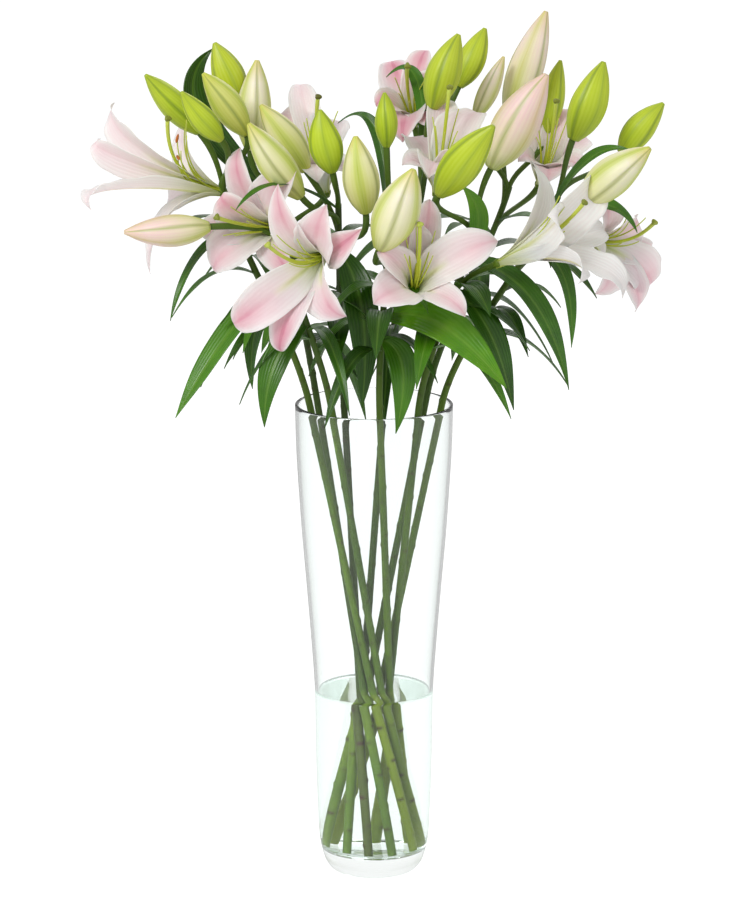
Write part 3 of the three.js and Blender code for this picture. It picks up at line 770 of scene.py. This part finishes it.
def make_bud(name, seed):
    """Ring by ring: a three-lobed section with a groove at each seam and a ridge on each rib."""
    source, base, tip, width, ripe, blush = BUDS[name]
    rng = np.random.default_rng(seed)
    base, tip = np.array(base, float), np.array(tip, float)
    direction = unit(tip - base)
    steps, sides = 44, 60
    t = (0.012 + 0.988 * np.linspace(0, 1, steps) ** 0.9)[:, None]
    bow = unit(np.cross(direction, rng.normal(size=3))) * np.linalg.norm(tip - base) * 0.02
    path = base + (tip - base) * t + bow * np.sin(np.pi * t)
    angle = np.linspace(0, 2 * np.pi, sides, endpoint=False)
    turn = angle + seed * 1.1 + 0.25 * t
    third = np.abs((turn % (2 * np.pi / 3)) - np.pi / 3)
    seam = bell(third, 0.10)
    rib = bell(np.pi / 3 - third, 0.12)
    strength = clamp(t * 6) * clamp((1.02 - t) * 6)
    shape = 1 + (-0.045 * np.cos(3 * turn) - 0.05 * seam + 0.025 * rib) * strength
    marks = {"along": t, "seam": seam, "rib": rib, "ripe": np.full(steps, ripe),
             "across": third / (np.pi / 3), "blush": blush * clamp(t * 1.6)}
    body = tube(path * MM, width / 2 * bud_width(t[:, 0]) * MM, sides, marks, shape)
    bud = make_piece(name + "_closed", [body], BUD, [name])
    stalk = flower_stalk(source, base, direction, 0.45)
    make_piece(name + "_stalk", [stalk], STALK)
    return bud


gaps = [compare(name, make_bud(name, number)) for number, name in enumerate(BUDS)]
print(f"buds made: {len(gaps)}, each without the stalk that its solid has,",
      f"so their boxes differ by up to {max(gaps):.1f} mm")

# %% [markdown]
# ## The open flowers
# Six tepals in two rings of three rise out of the throat, spread, and curl back. The inner three
# are broad and ruffled; the outer three are narrow and sit behind. Each row gives the stalk, the
# base, the way the flower opens, the six tips, the end of the style and how pink it is.

# %% Where the flowers are
BLOOMS = {
    "bloom_1": (("stem_1", 640), (-150, -35, 702), (-0.88, -0.38, 0.25), [
        (-263, -60, 753), (-250, -15, 782), (-184, 25, 762),
        (-201, 30, 671), (-213, -75, 629), (-269, -95, 698)], (-199, -75, 778), 0.38),
    "bloom_2": (("stem_2", 646), (-94, -50, 668), (-0.55, -0.8, 0.15), [
        (-132, -64, 752), (-75, -105, 734), (-72, -108, 626),
        (-157, -78, 629), (-172, -58, 667), (-148, -85, 708)], (-150, -124, 690), 0.85),
    "bloom_3": (("stem_2", 625), (-46, -102, 653), (-0.42, -0.87, -0.25), [
        (-94, -146, 727), (-46, -160, 709), (-12, -166, 686),
        (-26, -166, 600), (-90, -138, 559), (-138, -134, 587)], (-100, -178, 672), 1.0),
    "bloom_4": (("stem_5", 560), (37, -90, 612), (0.12, -0.86, 0.48), [
        (54, -96, 707), (121, -124, 669), (89, -158, 599),
        (-3, -160, 612), (0, -140, 661), (19, -106, 692)], (43, -156, 688), 0.8),
    "bloom_5": (("stem_7", 600), (122, -70, 637), (0.8, -0.42, 0.42), [
        (156, -24, 726), (213, -40, 717), (228, 6, 656),
        (241, -94, 605), (196, -148, 629), (165, -138, 695)], (201, -110, 702), 0.1),
    "bloom_6": (("stem_6", 640), (62, -15, 698), (0.1, -0.4, 0.9), [
        (66, 46, 783), (106, 16, 773), (90, -80, 737),
        (52, -92, 724), (26, -46, 730), (30, 30, 748)], (73, -36, 803), 0.5),
    "bloom_7": (("stem_3", 650), (-48, 30, 692), (-0.2, -0.45, 0.86), [
        (-74, 74, 794), (-34, 90, 757), (-24, -20, 718),
        (-55, -54, 714), (-88, -30, 727), (-96, 58, 766)], (-55, -6, 790), 0.45),
    "bloom_8": (("stem_6", 665), (40, 95, 752), (-0.15, -0.7, 0.66), [
        (54, 100, 826), (72, 56, 791), (66, 20, 752),
        (28, 18, 742), (0, 45, 774), (16, 112, 814)], (33, 24, 817), 1.2),
    "bloom_9": (("stem_8", 600), (214, 45, 642), (0.75, -0.63, -0.13), [
        (223, 2, 694), (264, 40, 667), (279, 70, 624),
        (281, 78, 586), (265, 66, 562), (220, -4, 592)], (276, -8, 666), 0.7),
    "bloom_10": (("stem_9", 645), (168, 108, 688), (0.2, -0.55, 0.8), [
        (191, 136, 762), (220, 120, 733), (206, 54, 708),
        (173, 44, 698), (142, 60, 718), (148, 132, 758)], (182, 74, 775), 0.7),
}


# %% Tepals
INNER_WIDTH = 48.0
OUTER_WIDTH = 33.0


def tepal_line(base, opens, tip, outer, t):
    """Middle line of a tepal: a cubic that leaves the throat along the flower's axis, then swings
    out and back to its tip. The outer ring starts 4.5 mm lower, behind the inner one."""
    away = tip - base
    outward = unit(away - opens * (away @ opens))
    start = base + outward * 3.6 + opens * (-4.0 if outer else 0.5)
    reach = tip - start
    length = np.linalg.norm(reach)
    along = reach @ opens
    out = reach - opens * along
    throat = start + opens * length * 0.42
    bend = start + out * 0.62 + opens * (along + length * 0.26)
    return bezier([start, throat, bend, tip], t)


def tepal_width(t):
    """Share of the full width: a narrow claw in the throat, widest past the middle, a point."""
    rise = 0.12 + 0.88 * np.sin(np.minimum(1, t / 0.56) * np.pi / 2)
    fall = np.cos(clamp((t - 0.56) / 0.44) * np.pi / 2) ** 0.95
    return np.maximum(0.02, rise * fall)


def make_tepal(base, opens, tip, outer, pink, rng, forward):
    """A shell on the middle line. Across it the sheet is cupped in the throat, furrowed along the
    midrib, and waved at the margins by two sines whose height grows towards the edge. The tip
    curls back a few millimetres, or forward where that flower's are held straighter."""
    rows, columns = 46, 25
    t = np.linspace(0, 1, rows)[:, None]
    v = np.linspace(-1, 1, columns)[None, :]
    line = tepal_line(base, opens, tip, outer, t[:, 0])
    side = unit(np.cross(tip - base, opens))[None, :] * np.ones((rows, 1))
    up = unit(np.cross(side, slopes(line)))
    edge, right, left = np.abs(v), v > 0, v < 0
    phase = rng.uniform(0, 6.28, 6)
    uneven = 0.05 * np.sin(t * 11 + phase[4]) * right + 0.05 * np.sin(t * 9 + phase[5]) * left
    broad = (OUTER_WIDTH if outer else INNER_WIDTH) * rng.uniform(0.88, 1.0)
    half = broad / 2 * tepal_width(t) * (1 + uneven)
    across = half * v
    ruffle = (np.sin(t * 15 + phase[0]) * right + np.sin(t * 13 + phase[1]) * left) * edge ** 3
    crinkle = 0.3 * np.sin(t * 39 + phase[2] + 2 * v) * edge ** 5
    height = 1.0 if outer else 2.6
    spread = clamp((t - 0.2) * 2.5) * clamp((0.97 - t) * 4)
    cup = half * rng.uniform(0.45, 0.75) * (1 - 0.65 * t) * edge ** 1.6
    roll = -half * 0.22 * clamp(t - 0.5) * edge ** 2.4
    furrow = -0.9 * bell(v, 0.07) * clamp(1.1 - t)
    curl = (forward - rng.uniform(2, 5)) * clamp((t - 0.72) / 0.28) ** 2
    sway = 1.7 * np.sin(t * 7 + phase[3]) * v
    lift = cup + roll + (ruffle + crinkle) * height * spread + sway * spread + furrow + curl
    twist = rng.uniform(-0.3, 0.3) * t ** 2 * across
    thickness = (0.75 - 0.4 * edge ** 2) * np.clip(0.35 + 4 * (1 - t), 0.35, 1)
    band = np.exp(-(edge / 0.82) ** 4) * 0.72 + bell(v, 0.15) * 0.22
    blush = pink * rng.uniform(0.8, 1.1) * band * clamp((t - 0.22) / 0.5) ** 0.9
    streak = clamp(1 - t / 0.48) ** 0.6 * bell(v, 0.2)
    wash = 0.75 * clamp(1 - t / 0.36)
    marks = {"pink": clamp(blush), "throat": clamp(np.maximum(wash, streak)),
             "across": v * np.ones((rows, 1)),
             "rib": bell(v, 0.09) * clamp(t * 2) * (1.0 if outer else 0.5)}
    return shell(line * MM, side, up, across * MM, (lift + twist) * MM, thickness * MM, marks)


# %% [markdown]
# The heart of each flower is a long style with a three-lobed stigma, and six fine filaments round
# it. Nearly all the pollen sacs are taken to have been picked off, as florists do.

# %% Hearts
# How far the tepals of a flower that hasn't fully opened are held forward, in millimetres.
TIP_FORWARD = {"bloom_1": 9.0, "bloom_5": 2.0}

# Pollen sacs left on, where any are.
SACS = {"bloom_1": 2}

# How far the stigma has darkened, where it isn't plain olive.
STIGMA = {"bloom_3": 0.3, "bloom_4": 0.15, "bloom_7": 1.6, "bloom_9": 0.6}


def make_heart(base, opens, end, rng, sacs, dark):
    """Style: a tube on a quadratic curve. Filaments: six thinner tubes that lean out around it."""
    reach = np.linalg.norm(end - base)
    t = np.linspace(0, 1, 26)
    style = bezier([base, base + opens * reach * 0.6, end], t)
    patches = [tube(style * MM, (1.5 + 0.6 * t ** 3) * MM, 12, {"along": t[:, None]})]
    lean = slopes(style)[-1]
    s = np.linspace(0, 1, 12)
    knob = end - lean * 2 + lean * 5.5 * s[:, None]
    swell = 1 - (2 * s - 1) ** 2
    lobes = 1 + 0.22 * np.cos(3 * np.linspace(0, 2 * np.pi, 18, endpoint=False))[None, :]
    patches.append(tube(knob * MM, 3.3 * np.sqrt(np.clip(swell, 0.02, 1)) * MM, 18,
                        {"along": np.ones(12), "stigma": np.full(12, dark)}, lobes))
    helper = unit(np.cross(opens, [0.3, 0.2, 0.9]))
    other = np.cross(opens, helper)
    for k in range(6):
        angle = k * np.pi / 3 + rng.uniform(-0.2, 0.2)
        out = helper * math.cos(angle) + other * math.sin(angle)
        top = base + (end - base) * rng.uniform(0.62, 0.82) + out * rng.uniform(13, 20)
        thread = bezier([base + out * 2.4, base + opens * reach * 0.45 + out * 5, top], t)
        patches.append(tube(thread * MM, (0.95 - 0.4 * t) * MM, 8, {"along": t[:, None]}))
        if k < sacs:
            across = unit(np.cross(out, opens))
            sac = top + across * np.linspace(-4.5, 4.5, 12)[:, None]
            patches.append(tube(sac * MM, 1.5 * np.sqrt(np.clip(swell, 0.03, 1)) * MM, 10,
                                {"along": np.ones(12), "pollen": np.ones(12)}))
    return patches


def make_bloom(name, seed):
    """Six tepals, the heart and the stalk of one flower."""
    source, base, opens, tips, end, pink = BLOOMS[name]
    rng = np.random.default_rng(seed + 100)
    base, opens = np.array(base, float), unit(np.array(opens, float))
    for k, tip in enumerate(tips):
        patch = make_tepal(base, opens, np.array(tip, float), k % 2 == 0, pink, rng,
                           TIP_FORWARD.get(name, 0.0))
        make_piece(f"{name}_tepal_{k + 1}", [patch], PETAL, [name] if k == 0 else [])
    heart = make_heart(base, opens, np.array(end, float), rng, SACS.get(name, 0),
                       STIGMA.get(name, 1.0))
    make_piece(name + "_heart", heart, HEART)
    neck = base + opens * np.linspace(-7, 2, 8)[:, None]
    cup = tube(neck * MM, np.array([3.0, 3.6, 4.2, 4.7, 5.0, 5.1, 4.6, 3.6]) * MM, 16,
               {"tone": np.full(8, 0.7), "scar": np.zeros(8)})
    stalk = flower_stalk(source, base, opens, 0.45)
    make_piece(name + "_stalk", [stalk, cup], STALK)


for number, bloom in enumerate(BLOOMS):
    make_bloom(bloom, number)
print("open flowers made:", len(BLOOMS))

# %% [markdown]
# ## The leaves
# A lily leaf is a strap that leaves the stalk going up, arches over and hangs to a long point.
# Seventeen have solids of their own. Each row gives the stalk and height, the bend point, the tip,
# the width, the way the upper face looks and how light the green is.

# %% Leaves with solids
LEAVES = {
    "leaf_1": (("stem_1", 600), (-148, -58, 568), (-194, -85, 486), 29, (-0.5, -0.7, 0.5), 0.62),
    "leaf_2": (("stem_2", 575), (-108, -85, 548), (-107, -92, 478), 27, (-0.3, -0.9, 0.3), 0.45),
    "leaf_3": (("stem_1", 585), (-126, -30, 570), (-120, -42, 506), 24, (-0.6, -0.6, 0.4), 0.35),
    "leaf_4": (("stem_1", 662), (-180, -68, 658), (-198, -88, 583), 15, (-0.7, -0.6, 0.4), 0.4),
    "leaf_5": (("stem_5", 582), (62, -126, 612), (127, -145, 528), 44, (0.2, -0.8, 0.6), 0.72),
    "leaf_6": (("stem_5", 560), (41, -92, 556), (21, -98, 473), 28, (0.1, -0.95, 0.3), 0.5),
    "leaf_7": (("stem_7", 605), (117, -76, 588), (136, -96, 496), 30, (0.5, -0.8, 0.4), 0.3),
    "leaf_8": (("stem_7", 636), (165, -62, 628), (190, -86, 514), 31, (0.6, -0.6, 0.5), 0.4),
    "leaf_9": (("stem_8", 640), (198, -45, 640), (193, -65, 552), 19, (0.5, -0.8, 0.3), 0.45),
    "leaf_10": (("stem_4", 684), (-98, -132, 748), (-132, -142, 700), 13, (-0.3, -0.4, 0.85), 0.45),
    "leaf_11": (("stem_3", 684), (-222, 44, 782), (-159, 46, 832), 30, (0.5, -0.8, 0.2), 0.15),
    "leaf_12": (("stem_5", 660), (14, 8, 805), (-36, 6, 763), 13, (-0.2, -0.3, 0.9), 0.35),
    "leaf_13": (("stem_6", 700), (56, 58, 845), (12, 50, 803), 14, (-0.3, -0.5, 0.8), 0.5),
    "leaf_14": (("stem_8", 664), (206, -25, 756), (250, -42, 743), 16, (-0.2, -0.5, 0.85), 0.5),
    "leaf_15": (("stem_8", 676), (240, -12, 702), (259, -18, 658), 17, (0.5, -0.6, 0.6), 0.5),
    "leaf_16": (("stem_7", 645), (114, -58, 684), (85, -60, 711), 20, (0.2, -0.9, 0.3), 0.7),
    "leaf_17": (("stem_4", 640), (0, -74, 604), (-12, -72, 493), 33, (0.1, -0.95, 0.2), 0.25),
}


def leaf_width(t):
    """Share of the full width: a narrow foot, widest before the middle, a long point."""
    rise = 0.22 + 0.78 * np.sin(np.minimum(1, t / 0.42) * np.pi / 2)
    fall = np.cos(clamp((t - 0.42) / 0.58) * np.pi / 2) ** 0.9
    return np.maximum(0.02, rise * fall)


def leaf_patch(points, width, face, tone, rng):
    """A shell on a quadratic curve, folded to a shallow channel, with slow waves at its margins."""
    rows, columns = 34, 11
    t = np.linspace(0, 1, rows)[:, None]
    v = np.linspace(-1, 1, columns)[None, :]
    line = bezier(points, t[:, 0])
    tangent = slopes(line)
    side = unit(np.cross(np.broadcast_to(face, tangent.shape), tangent))
    up = np.cross(tangent, side)
    half = width / 2 * leaf_width(t)
    across = half * v
    edge = np.abs(v)
    phase = rng.uniform(0, 6.28)
    fold = half * 0.28 * (1.1 - 0.5 * t) * edge ** 1.3
    wave = 1.1 * np.sin(t * 9 + phase) * v * edge * clamp(t * 4)
    lift = fold + wave * clamp(half / 10) - 0.35 * bell(v, 0.12)
    flat = np.ones((rows, columns))
    thickness = 0.55 * flat * (1 - 0.4 * edge ** 2)
    marks = {"across": v * flat, "tone": tone * flat, "rib": bell(v, 0.11) * flat}
    return shell(line * MM, side, up, across * MM, lift * MM, thickness * MM, marks)


def make_leaf(name, seed):
    """One leaf that has a solid of its own."""
    source, bend, tip, width, face, tone = LEAVES[name]
    rng = np.random.default_rng(seed + 500)
    points = [stem_at(*source)[0], np.array(bend, float), np.array(tip, float)]
    patch = leaf_patch(points, width, unit(np.array(face, float)), tone, rng)
    make_piece(name + "_blade", [patch], LEAF, [name])


for number, leaf in enumerate(LEAVES):
    make_leaf(leaf, number)
print("leaves with solids made:", len(LEAVES))

# %% [markdown]
# Many more leaves fill the underside of the head. They are grown by rule: a spiral up each stalk,
# one golden angle after another, hanging lower the further down they grow, inside the solids' box.

# %% Filler leaves
GOLDEN = 2.39996
LOWEST_LEAF = 548
LEAVES_PER_STALK = 8


def filler_leaves(name, seed):
    """Leaves in a spiral up one stalk, in a mesh of their own."""
    rng = np.random.default_rng(seed + 900)
    low, high = np.array(CAD_BOX) / MM
    patches = []
    heights = np.linspace(LOWEST_LEAF, STEMS[name][2][2] - 35, LEAVES_PER_STALK)
    for i, height in enumerate(heights):
        start = stem_at(name, height)[0]
        angle = seed * 0.9 + i * GOLDEN
        outward = unit(np.array([start[0], start[1] + 1e-3, 0]))
        way = unit(np.array([math.cos(angle), math.sin(angle), 0]) + 0.55 * outward)
        length = rng.uniform(90, 140) * (1.0 - 0.25 * i / LEAVES_PER_STALK)
        sink = rng.uniform(0.35, 0.75) - 0.45 * i / LEAVES_PER_STALK
        bend = start + way * length * 0.42 + [0, 0, length * 0.22]
        tip = start + way * length * 0.8 - [0, 0, length * sink]
        tip = np.clip(tip, low + 6, high - 6)
        bend = np.clip(bend, low + 6, high - 6)
        face = unit(np.array([way[0] * 0.5, way[1] * 0.5, 1.0]))
        patches.append(leaf_patch([start, bend, tip], rng.uniform(15, 27), face,
                                  rng.uniform(0.15, 0.6), rng))
    make_piece(name + "_small_leaves", patches, LEAF)


for number, stem in enumerate(STEMS):
    filler_leaves(stem, number)
print("small leaves made for", len(STEMS), "stalks")

# %% [markdown]
# The floor is a white lacquered table that glows a little, as a lit product table does. It isn't
# part of the object.

# %% Floor
def make_floor():
    """A flat pale sheet 24 metres wide, 0.2 mm below the vase's foot."""
    mesh = bpy.data.meshes.new("floor")
    r, drop = 12.0, -0.2 * MM
    corners = [(-r, -r, drop), (r, -r, drop), (r, r, drop), (-r, r, drop)]
    mesh.from_pydata(corners, [], [(0, 1, 2, 3)])
    made, add = new_material("white_table_lacquer")
    skin = add("BsdfPrincipled", {
        "Base Color": linear("#a2a2a2"), "Roughness": 0.8, "Emission Color": linear("#ffffff"),
        "Emission Strength": direct(add, FLOOR_SEEN, FLOOR_LIGHT)})
    add("OutputMaterial", {"Surface": skin})
    mesh.materials.append(made)
    floor = bpy.data.objects.new("floor", mesh)
    bpy.context.scene.collection.objects.link(floor)


make_floor()
